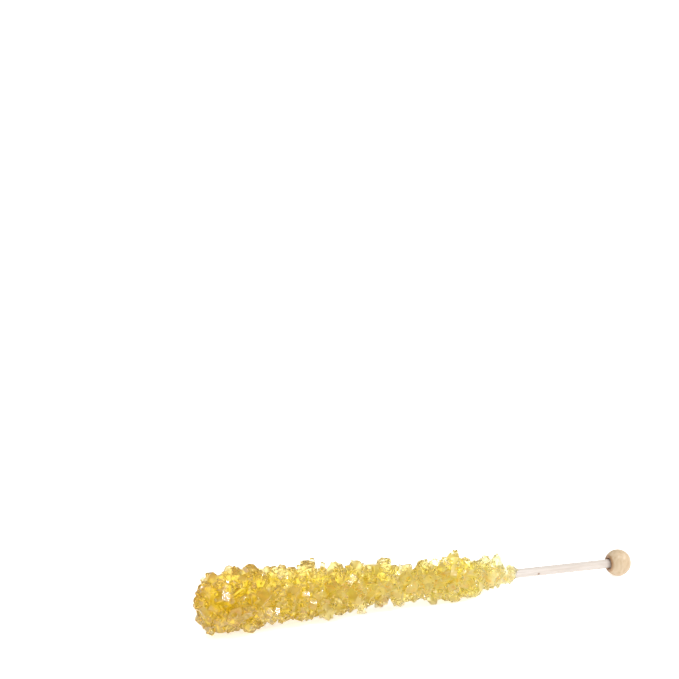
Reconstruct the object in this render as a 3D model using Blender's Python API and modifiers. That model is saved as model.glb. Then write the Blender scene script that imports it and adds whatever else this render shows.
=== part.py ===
"""A rock candy stick that lies on a table, in metres, +Z up.

Gold sugar crystals have grown on a thin wooden stick, thick at its free end and thin where the
bare wood comes out. A drilled wooden ball is pushed on the other end. The crystals have grown
into one another, so the candy is one solid. It rests on three crystal tips and on the ball.

The stick's own frame has X along the stick, from the candy's free end at 0 to the ball's far
side at LENGTH. Stations are distances along it. A clock angle goes round the stick: 0 points up,
positive angles lean towards +Y. The finished object's origin is the middle of its base.
"""
import math
import random

import bmesh
import bpy
from mathutils import Matrix, Vector

# The whole and its three parts
LENGTH = 0.165
CANDY_LENGTH = 0.1195
STICK_RADIUS = 0.0016
BALL_RADIUS = 0.0048
FIT_GAP = 0.0003                       # air between parts that touch
BALL_STATION = LENGTH - BALL_RADIUS

# How the wood is fitted
STICK_START = 0.0095                   # the stick's buried end
HOLE_MOUTH_RADIUS = 0.00245            # the ball's hole is countersunk to this radius
COUNTERSINK_DEPTH = 0.0006
HOLE_PAST_MIDDLE = 0.0022              # the hole ends this far past the ball's middle

# The candy's outline: a taper, a swelling near the thin end, and two rounded ends
THICK_RADIUS = 0.0122                  # the taper's radius where it starts, at station 0
TAPER = 0.066                          # radius lost for each unit of length
SWELLING_STATION = 0.096
SWELLING_HEIGHT = 0.0025
SWELLING_SPREAD = 0.008
BLUNT_END = 0.012                      # the free end is a half ball of about this radius
THIN_END = 0.013                       # the thin end rounds off over this length
RISE = 0.0016                          # the candy has grown this much more upwards than down
RISE_CLOCK = math.radians(20)

# The crystals
SEED = 36
BIG_CRYSTAL = 0.0074                   # mean crystal length at the free end
SMALL_CRYSTAL = 0.0036                 # and at the thin end
CROWDING = 0.86                        # distance between crystals, in crystal lengths
OBLIQUENESS = math.tan(math.radians(13))    # sugar crystals lean by 13 degrees
CORE_DEPTH = 0.62                      # the core's surface lies this many crystals deep
WELD = 0.0000005                       # corners nearer than this are one corner

# What it rests on
FOOT_STATION = 0.010                   # the tip that sets the candy's height
FOOT_REACH = 0.0100                    # how far that tip stands out below the stick's axis
TIP_FLAT = 0.00035                     # the height worn off each resting tip
BALL_FLAT = 0.00008                    # and off the ball
CLEAR_OF_TABLE = 0.0002                # every other crystal stays at least this far above it

# The crystals that it rests on, as (station, clock angle in degrees, length)
FEET = (
    (0.0100, -146, 0.0104),
    (0.0295, -150, 0.0094),
    (0.0200, 143, 0.0094),
)
# Crystals that stand out, as (station, clock angle in degrees, reach, length)
STANDING_OUT = (
    (0.0038, -148, 0.0082, 0.0070),
    (0.0140, 24, 0.0130, 0.0084),
    (0.0210, 16, 0.0130, 0.0080),
    (0.0300, 24, 0.0113, 0.0090),
    (0.0410, 18, 0.0122, 0.0080),
    (0.0500, 24, 0.0108, 0.0066),
    (0.0580, 16, 0.0105, 0.0060),
    (0.0690, 22, 0.0107, 0.0070),
    (0.0830, 16, 0.0086, 0.0052),
    (0.0885, 30, 0.0086, 0.0050),
    (0.0950, 20, 0.0100, 0.0064),
    (0.1075, 26, 0.0074, 0.0044),
    (0.1120, 14, 0.0074, 0.0044),
    (0.0450, -158, 0.0090, 0.0070),
    (0.0590, -162, 0.0070, 0.0056),
    (0.0735, -155, 0.0069, 0.0052),
    (0.0855, -162, 0.0082, 0.0056),
    (0.0930, -152, 0.0078, 0.0050),
    (0.1020, -160, 0.0072, 0.0048),
    (0.0160, -80, 0.0116, 0.0090),
    (0.0330, -66, 0.0110, 0.0084),
    (0.0540, -84, 0.0096, 0.0074),
    (0.0270, 96, 0.0112, 0.0086),
    (0.0480, 108, 0.0100, 0.0076),
    (0.0930, 84, 0.0094, 0.0060),
)


def girth(station):
    """The candy's mean outer radius at a station."""
    radius = THICK_RADIUS - TAPER * station
    radius += SWELLING_HEIGHT * math.exp(-((station - SWELLING_STATION) / SWELLING_SPREAD) ** 2)
    from_free_end = max(0.0, 1.0 - station / BLUNT_END) * 0.96
    from_thin_end = max(0.0, 1.0 - (CANDY_LENGTH - station) / THIN_END) * 0.93
    return radius * math.sqrt(1.0 - from_free_end ** 2) * math.sqrt(1.0 - from_thin_end ** 2)


def rise(station):
    """How far the candy's own middle lies above the stick's axis."""
    return RISE * (1.0 - station / CANDY_LENGTH) ** 0.5


def crystal_length(station):
    """The mean length of the crystals at a station."""
    share = station / CANDY_LENGTH
    return BIG_CRYSTAL + (SMALL_CRYSTAL - BIG_CRYSTAL) * share


TILT = math.asin((FOOT_REACH - BALL_RADIUS) / (BALL_STATION - FOOT_STATION))


def axis_height(station):
    """The height of the stick's axis above the table."""
    return BALL_RADIUS - BALL_FLAT + (BALL_STATION - station) * math.sin(TILT)


def height(point):
    """A point's height above the table, from its place in the stick's own frame."""
    return axis_height(0.0) - point.x * math.sin(TILT) + point.z * math.cos(TILT)


def outward(clock):
    """The direction away from the stick at a clock angle, in the stick's own frame."""
    return Vector((0.0, math.sin(clock), math.cos(clock)))


# ------------------------------------------------------------------ helpers

def new_material(name, colour, roughness, alpha=1.0):
    """A plain Principled material."""
    material = bpy.data.materials.new(name)
    material.use_nodes = True
    shader = material.node_tree.nodes["Principled BSDF"]
    shader.inputs["Base Color"].default_value = (*colour, 1.0)
    shader.inputs["Roughness"].default_value = roughness
    shader.inputs["Metallic"].default_value = 0.0
    shader.inputs["Alpha"].default_value = alpha
    return material


def new_object(name, mesh, collection, parent, material=None):
    """An object for a mesh, in a collection and under a parent."""
    thing = bpy.data.objects.new(name, mesh)
    collection.objects.link(thing)
    thing.parent = parent
    if material:
        mesh.materials.append(material)
    return thing


def mesh_from(shape, name):
    """A named mesh from a bmesh, which is freed."""
    mesh = bpy.data.meshes.new(name)
    shape.to_mesh(mesh)
    shape.free()
    return mesh


def as_guide(thing):
    """Mark an object as a cutter or a guide."""
    thing.hide_render = True
    thing.display_type = "WIRE"


def add_boolean(thing, other, operation):
    """A live Boolean with another object."""
    cut = thing.modifiers.new(operation.lower(), "BOOLEAN")
    cut.operation = operation
    cut.solver = "EXACT"
    cut.object = other
    return cut


# ------------------------------------------------------------------ the candy

def slice_off(block, point, normal):
    """Cut a closed convex shape with a plane and close the cut with one flat face."""
    cut = bmesh.ops.bisect_plane(
        block, geom=block.verts[:] + block.edges[:] + block.faces[:],
        plane_co=point, plane_no=normal, clear_outer=True)
    edges = [item for item in cut["geom_cut"] if isinstance(item, bmesh.types.BMEdge)]
    if edges:
        bmesh.ops.contextual_create(block, geom=edges)


def extent(block, direction):
    """How far a shape reaches from its origin along a direction."""
    return max(vert.co.dot(direction) for vert in block.verts)


def grow_crystal(rng, length):
    """One sugar crystal about its own origin, which grows along +Z.

    It is an oblique block with a ridged roof on its growing end and a few corners cut off.
    """
    block = bmesh.new()
    bmesh.ops.create_cube(block, size=1.0)
    width = length * rng.uniform(0.72, 1.0)
    depth = length * rng.uniform(0.5, 0.78)
    bmesh.ops.scale(block, vec=(width, depth, length), verts=block.verts)
    lean = Matrix.Identity(4)
    lean[0][2] = OBLIQUENESS
    bmesh.ops.transform(block, matrix=lean, verts=block.verts)
    ridge = length * rng.uniform(0.30, 0.45)
    for side in (-1, 1):
        slope = math.radians(rng.uniform(28, 58))
        normal = Vector((side * math.sin(slope), 0.0, math.cos(slope)))
        slice_off(block, Vector((lean[0][2] * ridge, 0.0, ridge)), normal)
    for _ in range(rng.randint(1, 2)):
        normal = Vector((rng.uniform(-1, 1), rng.uniform(-1, 1), rng.uniform(-0.1, 0.8)))
        normal.normalize()
        slice_off(block, normal * extent(block, normal) * rng.uniform(0.76, 0.92), normal)
    return block


def plant_crystal(heap, rng, root, direction, reach, length, sway, is_foot=False):
    """Grow a crystal away from a point on the stick, out to its reach along a direction.

    A foot is moved up or down until its tip is just under the table's surface, where it is worn
    flat. Any other crystal that would meet the table is lifted clear of it.
    """
    block = grow_crystal(rng, length)
    spin = Matrix.Rotation(rng.uniform(0.0, math.tau), 4, "Z")
    wander = Vector((rng.gauss(0, 1), rng.gauss(0, 1), rng.gauss(0, 1))) * sway
    turn = (direction + wander).to_track_quat("Z", "Y").to_matrix().to_4x4()
    bmesh.ops.transform(block, matrix=turn @ spin, verts=block.verts)
    place = root + direction * (reach - extent(block, direction))
    bmesh.ops.translate(block, vec=place, verts=block.verts)
    room = min(height(vert.co) for vert in block.verts)
    lift = -TIP_FLAT - room if is_foot else max(0.0, CLEAR_OF_TABLE - room)
    bmesh.ops.translate(block, vec=Vector((0.0, 0.0, lift)), verts=block.verts)
    bmesh.ops.recalc_face_normals(block, faces=block.faces)
    lump = mesh_from(block, "crystal")
    heap.from_mesh(lump)
    bpy.data.meshes.remove(lump)


def plant_named(heap, rng):
    """The feet, and then the crystals that make the outline uneven."""
    for station, clock, length in FEET:
        root = Vector((station, 0.0, 0.0))
        reach = axis_height(station)
        plant_crystal(heap, rng, root, outward(math.radians(clock)), reach, length, 0.1, is_foot=True)
    for station, clock, reach, length in STANDING_OUT:
        root = Vector((station, 0.0, 0.0))
        plant_crystal(heap, rng, root, outward(math.radians(clock)), reach, length, 0.14)


def plant_blunt_end(heap, rng):
    """The crystals of the free end, in rings over a half ball."""
    middle = Vector((BLUNT_END, 0.0, rise(BLUNT_END)))
    rings = 3
    for ring in range(rings):
        polar = math.radians(90) * ring / rings
        count = max(1, round(math.tau * math.sin(polar) * BLUNT_END * 0.8 / (BIG_CRYSTAL * CROWDING)))
        first = rng.uniform(0.0, math.tau)
        for number in range(count):
            clock = first + math.tau * (number + rng.uniform(-0.25, 0.25)) / count
            aside = math.sin(polar)
            direction = Vector((-math.cos(polar), 0.0, 0.0)) + outward(clock) * aside
            reach = math.hypot(BLUNT_END * math.cos(polar), girth(BLUNT_END) * aside)
            if ring:
                reach *= rng.uniform(0.92, 1.0)
            length = BIG_CRYSTAL * rng.uniform(0.8, 1.2)
            plant_crystal(heap, rng, middle, direction, reach, length, 0.2)


def plant_rings(heap, rng):
    """The crystals of the long side, ring after ring."""
    last = CANDY_LENGTH - SMALL_CRYSTAL * 0.4
    station = BLUNT_END
    while station < last:
        spacing = crystal_length(station) * CROWDING
        count = max(4, round(math.tau * girth(station) * 0.72 / spacing))
        first = rng.uniform(0.0, math.tau)
        for number in range(count):
            clock = first + math.tau * (number + rng.uniform(-0.3, 0.3)) / count
            at = min(station + spacing * rng.uniform(-0.4, 0.4), last)
            length = crystal_length(at) * rng.uniform(0.78, 1.25)
            reach = girth(at) * rng.uniform(0.82, 0.98) + rise(at) * math.cos(clock - RISE_CLOCK)
            root = Vector((at, 0.0, 0.0))
            plant_crystal(heap, rng, root, outward(clock), reach, length, 0.4)
        station += spacing


def grow_crystals(rng):
    """All crystals as one mesh of overlapping closed shapes."""
    heap = bmesh.new()
    plant_named(heap, rng)
    plant_blunt_end(heap, rng)
    plant_rings(heap, rng)
    return mesh_from(heap, "crystals")


def turned_core(guides, parent):
    """The fused sugar under the crystals: a tube whose radius follows the candy's girth."""
    curve = bpy.data.curves.new("core", "CURVE")
    curve.dimensions = "3D"
    curve.bevel_depth = 1.0
    curve.bevel_resolution = 3
    curve.use_fill_caps = True
    line = curve.splines.new("POLY")
    stations = 26
    line.points.add(stations - 1)
    for number, point in enumerate(line.points):
        along = BIG_CRYSTAL * 0.3 + (CANDY_LENGTH - BIG_CRYSTAL * 0.55) * number / (stations - 1)
        radius = girth(along) - crystal_length(along) * CORE_DEPTH
        height = rise(along) * (1.0 - STICK_RADIUS / girth(along)) * 0.8
        point.co = (along, 0.0, height, 1.0)
        point.radius = max(radius, STICK_RADIUS + 2.5 * FIT_GAP)
    tube = new_object("core_route", curve, guides, parent)
    bpy.context.view_layer.update()
    solid = bpy.data.meshes.new_from_object(tube.evaluated_get(bpy.context.evaluated_depsgraph_get()))
    bpy.data.objects.remove(tube)
    shape = bmesh.new()
    shape.from_mesh(solid)
    bmesh.ops.remove_doubles(shape, verts=shape.verts, dist=1e-6)
    bmesh.ops.recalc_face_normals(shape, faces=shape.faces)
    bpy.data.meshes.remove(solid)
    core = new_object("core", mesh_from(shape, "core"), guides, parent)
    as_guide(core)
    return core


def outer_skin(mesh):
    """Keep only a mesh's outermost shell, as a bmesh without slivers."""
    shape = bmesh.new()
    shape.from_mesh(mesh)
    bmesh.ops.remove_doubles(shape, verts=shape.verts, dist=WELD)
    waiting = set(shape.faces)
    shells = []
    while waiting:
        shell = []
        front = [waiting.pop()]
        while front:
            face = front.pop()
            shell.append(face)
            for edge in face.edges:
                for neighbour in edge.link_faces:
                    if neighbour in waiting:
                        waiting.remove(neighbour)
                        front.append(neighbour)
        shells.append(shell)
    shells.sort(key=len)
    for shell in shells[:-1]:
        bmesh.ops.delete(shape, geom=shell, context="FACES")
    print("candy: kept the outer shell of", len(shells))
    return shape


def build_candy(collection, guides, resting, table, material):
    """The candy as one solid: core and crystals joined, bored for the stick, flat on the table."""
    core = turned_core(guides, resting)
    crystals = new_object("crystals", grow_crystals(random.Random(SEED)), guides, resting)
    as_guide(crystals)
    bore_length = CANDY_LENGTH
    bpy.ops.mesh.primitive_cylinder_add(
        vertices=16, radius=STICK_RADIUS + FIT_GAP, depth=bore_length,
        location=(STICK_START - FIT_GAP + bore_length / 2, 0.0, 0.0),
        rotation=(0.0, math.radians(90), 0.0))
    bore = claim_active("stick_bore", guides, resting)
    as_guide(bore)
    join = add_boolean(core, crystals, "UNION")
    join.use_self = True
    add_boolean(core, bore, "DIFFERENCE")
    add_boolean(core, table, "DIFFERENCE")
    bpy.context.view_layer.update()
    joined = bpy.data.meshes.new_from_object(core.evaluated_get(bpy.context.evaluated_depsgraph_get()))
    candy = new_object("rock_candy", mesh_from(outer_skin(joined), "rock_candy"),
                       collection, resting, material)
    bpy.data.meshes.remove(joined)
    return candy


# ------------------------------------------------------------------ the wood

def claim_active(name, collection, parent):
    """Name the active object and move it to a collection and under a parent."""
    thing = bpy.context.view_layer.objects.active
    for old in list(thing.users_collection):
        old.objects.unlink(thing)
    collection.objects.link(thing)
    thing.name = name
    thing.data.name = name
    thing.parent = parent
    return thing


def build_stick(collection, resting, material):
    """The dowel, from inside the candy to near the bottom of the ball's hole."""
    end = BALL_STATION + HOLE_PAST_MIDDLE - FIT_GAP
    length = end - STICK_START
    bpy.ops.mesh.primitive_cylinder_add(
        vertices=24, radius=STICK_RADIUS, depth=length,
        location=(STICK_START + length / 2, 0.0, 0.0), rotation=(0.0, math.radians(90), 0.0))
    stick = claim_active("stick", collection, resting)
    stick.data.materials.append(material)
    stick.data.shade_smooth()
    stick.data.set_sharp_from_angle(angle=math.radians(40))
    return stick


def build_ball(collection, resting, table, material):
    """The ball, turned about Z with its hole at the top, then laid with the hole towards -X."""
    bore_radius = STICK_RADIUS + FIT_GAP
    mouth_angle = math.asin(HOLE_MOUTH_RADIUS / BALL_RADIUS)
    mouth_height = BALL_RADIUS * math.cos(mouth_angle)
    outline = [(0.0, -HOLE_PAST_MIDDLE), (bore_radius, -HOLE_PAST_MIDDLE),
               (bore_radius, mouth_height - COUNTERSINK_DEPTH)]
    arc_steps = 13
    for number in range(arc_steps + 1):
        angle = mouth_angle + (math.pi - mouth_angle) * number / arc_steps
        outline.append((max(0.0, BALL_RADIUS * math.sin(angle)), BALL_RADIUS * math.cos(angle)))
    outline[-1] = (0.0, -BALL_RADIUS)
    shape = bmesh.new()
    points = [shape.verts.new((radius, 0.0, height)) for radius, height in outline]
    for start, end in zip(points, points[1:]):
        shape.edges.new((start, end))
    ball = new_object("ball", mesh_from(shape, "ball"), collection, resting, material)
    ball.location = (BALL_STATION, 0.0, 0.0)
    ball.rotation_euler = (0.0, math.radians(-90), 0.0)
    turn = ball.modifiers.new("turned", "SCREW")
    turn.steps = 28
    turn.render_steps = 28
    turn.use_merge_vertices = True
    turn.merge_threshold = 0.00001
    turn.use_smooth_shade = True
    add_boolean(ball, table, "DIFFERENCE")
    return ball


# ------------------------------------------------------------------ the whole

def lowest_and_highest(things):
    """The corners of the box round some objects' evaluated meshes."""
    bpy.context.view_layer.update()
    depsgraph = bpy.context.evaluated_depsgraph_get()
    points = []
    for thing in things:
        solid = thing.evaluated_get(depsgraph)
        points += [thing.matrix_world @ vert.co for vert in solid.data.vertices]
    low = Vector(min(point[axis] for point in points) for axis in range(3))
    high = Vector(max(point[axis] for point in points) for axis in range(3))
    return low, high


def main():
    """Build the rock candy stick."""
    for old in list(bpy.data.objects):
        bpy.data.objects.remove(old)
    scene = bpy.context.scene
    collection = bpy.data.collections.new("rock_candy_stick")
    guides = bpy.data.collections.new("guides")
    scene.collection.children.link(collection)
    scene.collection.children.link(guides)

    origin = bpy.data.objects.new("origin", None)
    resting = bpy.data.objects.new("resting", None)
    collection.objects.link(origin)
    collection.objects.link(resting)
    resting.parent = origin
    resting.rotation_euler = (0.0, TILT, 0.0)
    resting.location = (0.0, 0.0, axis_height(0.0))

    bpy.ops.mesh.primitive_cube_add(size=1.0, location=(LENGTH / 2, 0.0, -0.01))
    table = claim_active("table", guides, origin)
    table.scale = (LENGTH * 1.5, 0.08, 0.02)
    as_guide(table)

    sugar = new_material("gold_sugar", (0.78, 0.58, 0.08), 0.08, alpha=0.85)
    pale_wood = new_material("birch_stick", (0.88, 0.78, 0.68), 0.6)
    warm_wood = new_material("beech_ball", (0.76, 0.52, 0.30), 0.45)
    candy = build_candy(collection, guides, resting, table, sugar)
    stick = build_stick(collection, resting, pale_wood)
    ball = build_ball(collection, resting, table, warm_wood)

    low, high = lowest_and_highest((candy, stick, ball))
    origin.location = (-(low.x + high.x) / 2, -(low.y + high.y) / 2, -low.z)
    bpy.context.view_layer.update()
    print("size in mm:", [round(1000 * side, 2) for side in high - low])
    print("tilt in degrees:", round(math.degrees(TILT), 2))


main()
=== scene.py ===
# %% [markdown]
# # A rock candy stick
#
# Rock candy is sugar that has been left to crystallise on a stick: clear, slanted blocks of
# every size, grown into one another, tinted here with a little gold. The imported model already
# has the candy as one lump, the wooden stick and the drilled ball, each in its place. This
# script keeps those places and gives each part its looks: the lump becomes clear crystals round
# a cloudy seed layer, and the wood gets its grain.
#
# The lesson runs in cells. Each one first says what is made and why it is made that way.
#
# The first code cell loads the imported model. Nothing in it is moved or changed: it gives every
# finished piece its place, and its box is the box that the finished pieces stay inside.

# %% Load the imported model
import math
import random

import bmesh
import bpy
from mathutils import Matrix, Vector, noise
from mathutils.bvhtree import BVHTree


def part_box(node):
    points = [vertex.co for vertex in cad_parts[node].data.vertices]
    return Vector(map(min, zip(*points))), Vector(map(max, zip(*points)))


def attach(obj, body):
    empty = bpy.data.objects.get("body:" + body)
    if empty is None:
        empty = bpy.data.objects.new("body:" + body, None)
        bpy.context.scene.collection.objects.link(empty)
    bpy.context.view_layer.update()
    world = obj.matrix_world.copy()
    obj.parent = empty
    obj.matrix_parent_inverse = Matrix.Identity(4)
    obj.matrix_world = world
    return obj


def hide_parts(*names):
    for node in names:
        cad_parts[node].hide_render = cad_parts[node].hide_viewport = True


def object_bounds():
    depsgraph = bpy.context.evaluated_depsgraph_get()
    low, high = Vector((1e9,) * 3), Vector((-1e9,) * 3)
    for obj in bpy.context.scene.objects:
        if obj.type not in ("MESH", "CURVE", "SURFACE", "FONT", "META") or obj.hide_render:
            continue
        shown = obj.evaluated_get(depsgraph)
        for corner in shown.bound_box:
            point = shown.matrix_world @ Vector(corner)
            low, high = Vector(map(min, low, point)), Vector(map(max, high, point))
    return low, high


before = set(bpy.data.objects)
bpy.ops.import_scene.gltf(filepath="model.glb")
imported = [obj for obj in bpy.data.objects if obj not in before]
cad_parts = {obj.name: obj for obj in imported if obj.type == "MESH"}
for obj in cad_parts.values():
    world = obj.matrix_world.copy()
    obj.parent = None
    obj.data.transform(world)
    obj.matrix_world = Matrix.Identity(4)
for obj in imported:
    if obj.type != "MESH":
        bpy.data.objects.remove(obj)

MM = 0.001
cad_box = [list(corner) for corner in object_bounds()]
print("model box in mm:", [[round(side / MM, 1) for side in corner] for corner in cad_box])

# %% [markdown]
# ## Where the stick lies
#
# Everything on this object is placed along the stick, so the script works in the stick's own
# frame: X runs along it from the candy's free end, and a clock angle goes round it, with 0
# straight up and positive angles leaning away to +Y. The dowel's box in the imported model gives
# the way from that frame to the table, because the middle of a slanted cylinder's box is the
# middle of its axis.

# %% The stick's own frame
LENGTH = 165 * MM
CANDY_LENGTH = 119.5 * MM
STICK_RADIUS = 1.6 * MM
STICK_START = 9.5 * MM
BALL_RADIUS = 4.8 * MM
BALL_STATION = LENGTH - BALL_RADIUS
HOLE_BOTTOM = BALL_STATION + 2.2 * MM
STICK_END = HOLE_BOTTOM - 0.3 * MM
FOOT_STATION = 10 * MM
FOOT_REACH = 10 * MM
TILT = math.asin((FOOT_REACH - BALL_RADIUS) / (BALL_STATION - FOOT_STATION))

stick_low, stick_high = (Vector(corner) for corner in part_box("stick"))
to_middle = Matrix.Translation((-(STICK_START + STICK_END) / 2, 0.0, 0.0))
on_table = Matrix.Translation((stick_low + stick_high) / 2) @ Matrix.Rotation(TILT, 4, "Y") @ to_middle
print("free end in mm:", [round(side / MM, 2) for side in on_table @ Vector((0, 0, 0))])


def outward(clock):
    """The direction away from the stick at a clock angle."""
    return Vector((0.0, math.sin(clock), math.cos(clock)))


def height(point):
    """A point's height above the table, from its place in the stick's own frame."""
    return (on_table @ point).z


# %% [markdown]
# ## Node helpers
#
# Every finish below is a small node tree. The nodes could be laid out by hand in the editor, but
# code gives the same tree each time. One helper makes a node and fills in its settings, links
# and values, so that each material reads as a list of what it is made of.


# %% Making a material
def new_material(name):
    """A Principled material, with its tree and its shader."""
    material = bpy.data.materials.new(name)
    material.use_nodes = True
    return material, material.node_tree, material.node_tree.nodes["Principled BSDF"]


def add_node(tree, kind, links=None, values=None, **settings):
    """A node with its settings, its plain socket values and the outputs linked to it."""
    node = tree.nodes.new(kind)
    for name, value in settings.items():
        setattr(node, name, value)
    for socket, value in (values or {}).items():
        node.inputs[socket].default_value = value
    for socket, source in (links or {}).items():
        tree.links.new(source, node.inputs[socket])
    return node


def show_material(material):
    """Print how many nodes a finished material has."""
    print("material", material.name, "has", len(material.node_tree.nodes), "nodes")


print("node helpers for Blender", bpy.app.version_string)

# %% [markdown]
# ## Patterns
#
# Grain, growth steps and seed sugar are all made in the same way: a noise, stretched to the
# pattern's real size, goes through a ramp for its colours and through a bump for its relief. The
# noise is given as features per metre, so its scale can be taken from the real thing.


# %% Ramps, noise and bumps
def add_ramp(tree, factor, stops):
    """A colour ramp through (position, colour) stops."""
    ramp = add_node(tree, "ShaderNodeValToRGB", {"Fac": factor})
    elements = ramp.color_ramp.elements
    while len(elements) < len(stops):
        elements.new(0.5)
    for element, (position, colour) in zip(elements, stops):
        element.position = position
        element.color = (*colour, 1.0)
    return ramp.outputs["Color"]


def add_range(tree, value, from_low, from_high, to_low, to_high):
    """A value mapped from one range to another."""
    node = add_node(tree, "ShaderNodeMapRange", {"Value": value}, {
        "From Min": from_low, "From Max": from_high, "To Min": to_low, "To Max": to_high})
    return node.outputs["Result"]


def add_noise(tree, place, stretch, detail=3.0, roughness=0.6, turn=(0.0, 0.0, 0.0)):
    """Noise with a number of features per metre along each axis, after an optional turn."""
    turned = add_node(tree, "ShaderNodeMapping", {"Vector": place}, {"Rotation": turn})
    stretched = add_node(tree, "ShaderNodeVectorMath", {0: turned.outputs["Vector"]}, {1: stretch},
                         operation="MULTIPLY")
    noise_node = add_node(tree, "ShaderNodeTexNoise", {"Vector": stretched.outputs["Vector"]},
                          {"Scale": 1.0, "Detail": detail, "Roughness": roughness})
    return noise_node.outputs["Fac"]


def add_bump(tree, heights, strength, distance):
    """A bumped normal from a height pattern."""
    bump = add_node(tree, "ShaderNodeBump", {"Height": heights},
                    {"Strength": strength, "Distance": distance})
    return bump.outputs["Normal"]


FINEST_GRAIN = 1800.0
print("the finest grain repeats every", round(1.0 / FINEST_GRAIN / MM, 2), "mm")

# %% [markdown]
# ## The camera
#
# The camera looks down a little, through a long lens that keeps the stick's two ends in
# proportion. A ray of light can cross a dozen crystals before it leaves the candy, so the
# renderer is allowed more bounces than it would take by itself.

# %% The camera
CAMERA_PLACE = Vector((-236.2, -501.3, 212.0)) * MM
CAMERA_PITCH = math.radians(12.1)
CAMERA_YAW = math.radians(-22.27)
LENS = 90.1
FILM_WIDTH = 36.0
FARTHEST_VIEW = 100.0
LIGHT_BOUNCES = 24

scene = bpy.context.scene
scene.view_settings.view_transform = "Standard"
scene.cycles.max_bounces = LIGHT_BOUNCES
scene.cycles.transmission_bounces = LIGHT_BOUNCES
scene.cycles.glossy_bounces = LIGHT_BOUNCES // 2

camera_data = bpy.data.cameras.new("camera")
camera_data.lens = LENS
camera_data.sensor_width = FILM_WIDTH
camera_data.clip_end = FARTHEST_VIEW
camera = bpy.data.objects.new("camera", camera_data)
camera.location = CAMERA_PLACE
camera.rotation_euler = (math.radians(90) - CAMERA_PITCH, 0.0, CAMERA_YAW)
scene.collection.objects.link(camera)
scene.camera = camera
print("the camera looks down", round(math.degrees(CAMERA_PITCH), 1), "degrees, lens", LENS, "mm")

# %% [markdown]
# ## The lamps
#
# One large soft lamp shapes the wood and the candy from the right. A large lamp alone leaves
# sugar dull, though: what makes it glitter is a few small, hard lamps, because each crystal face
# that happens to point the right way mirrors one as a bright spot. So three small lamps stand
# round it, at the right, above and at the left. Each lamp is set by how bright its surface is,
# which is easier to judge than its power.

# %% The lamps
LAMP_DISTANCE = 0.9
# Each lamp's name, direction from the candy, size in metres and brightness
LAMPS = (
    ("soft_key", (1.0, -0.5, 0.9), 0.5, 3.0),
    ("right_lamp", (0.75, -0.75, 0.85), 0.1, 60.0),
    ("top_lamp", (0.1, -0.3, 1.0), 0.1, 60.0),
    ("left_lamp", (-0.6, -0.8, 0.7), 0.1, 35.0),
)


def add_lamp(name, direction, size, brightness):
    """A square lamp that faces the candy, with the brightness of its surface."""
    light = bpy.data.lights.new(name, "AREA")
    light.shape = "SQUARE"
    light.size = size
    light.energy = brightness * math.pi * size ** 2
    lamp = bpy.data.objects.new(name, light)
    lamp.location = Vector(direction).normalized() * LAMP_DISTANCE
    lamp.rotation_euler = (-lamp.location).to_track_quat("-Z", "Y").to_euler()
    scene.collection.objects.link(lamp)


for lamp_settings in LAMPS:
    add_lamp(*lamp_settings)
print("lamps:", [light.name for light in bpy.data.lights])

# %% [markdown]
# ## The tent and the light table
#
# Small clear sweets look their best on a light table: a white surface that glows a little, so
# that light comes up through them and there is hardly a shadow. Round it stands a white tent.
# Clear crystals show little of their own: what the eye reads is the light and dark that they
# bend, so the tent is not one flat white. It is white low down, where it is the background,
# darker half way up, and white again overhead. The table reaches far past the view, so that its
# edge never shows, and it is staging, not a part of the object.

# %% The tent and the light table
# The tent's brightness, as (height from the horizon at 0 to overhead at 1, brightness)
TENT_WALLS = ((0.0, 1.03), (0.1, 1.03), (0.35, 0.54), (0.6, 0.54), (0.8, 0.95), (1.0, 1.1))
TENT_BRIGHTEST = max(light for _, light in TENT_WALLS)
TABLE_WHITE = 0.9
TABLE_ROUGHNESS = 0.6
TABLE_GLOW = 0.6
TABLE_REACH = 30.0

world = bpy.data.worlds.new("tent")
world.use_nodes = True
scene.world = world
tent = world.node_tree
direction = add_node(tent, "ShaderNodeTexCoord").outputs["Generated"]
upward = add_node(tent, "ShaderNodeSeparateXYZ", {"Vector": direction}).outputs["Z"]
tent_stops = [(position, (light / TENT_BRIGHTEST,) * 3) for position, light in TENT_WALLS]
background = tent.nodes["Background"]
tent.links.new(add_ramp(tent, upward, tent_stops), background.inputs["Color"])
background.inputs["Strength"].default_value = TENT_BRIGHTEST

table_material, tree, shader = new_material("light_table")
shader.inputs["Base Color"].default_value = (TABLE_WHITE, TABLE_WHITE, TABLE_WHITE, 1.0)
shader.inputs["Roughness"].default_value = TABLE_ROUGHNESS
shader.inputs["Emission Color"].default_value = (1.0, 1.0, 1.0, 1.0)
shader.inputs["Emission Strength"].default_value = TABLE_GLOW
table_shape = bmesh.new()
bmesh.ops.create_grid(table_shape, x_segments=1, y_segments=1, size=TABLE_REACH)
table_mesh = bpy.data.meshes.new("table")
table_shape.to_mesh(table_mesh)
table_shape.free()
table_mesh.materials.append(table_material)
table = bpy.data.objects.new("table", table_mesh)
scene.collection.objects.link(table)
print("the tent's brightness by height:", TENT_WALLS)

# %% [markdown]
# ## Golden sugar
#
# Sugar is clear, with a refractive index of 1.54, and the dye is spread through it. So most of
# the colour is not on the surface: a volume absorption takes away blue, and a little green, along
# the way that light travels inside. Thin tips stay pale and thick places turn deep gold. The
# crystals are slightly cloudy, which a rough transmission gives, while their faces are smooth
# and shiny, which a coat gives. Each crystal is a little clearer or cloudier than the next, by an
# attribute that comes with it. A second attribute paints shade into the colour: a crystal that
# sits deep in a crevice is a deeper gold, and more so near the thick end. Fine growth steps run
# across its faces, and the same bump breaks up the coat's mirror spots.


# %% The sugar
SUGAR_INDEX = 1.54
DYE = (0.99, 0.925, 0.0, 1.0)
DYE_DENSITY = 170.0
CLOUDIEST = 0.32
CLEAREST = 0.2
COAT = 0.4
COAT_ROUGHNESS = 0.05
GROWTH_STEPS = (2000.0, 350.0, 350.0)
STEP_STRENGTH = 0.55
STEP_HEIGHT = 0.12 * MM
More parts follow.
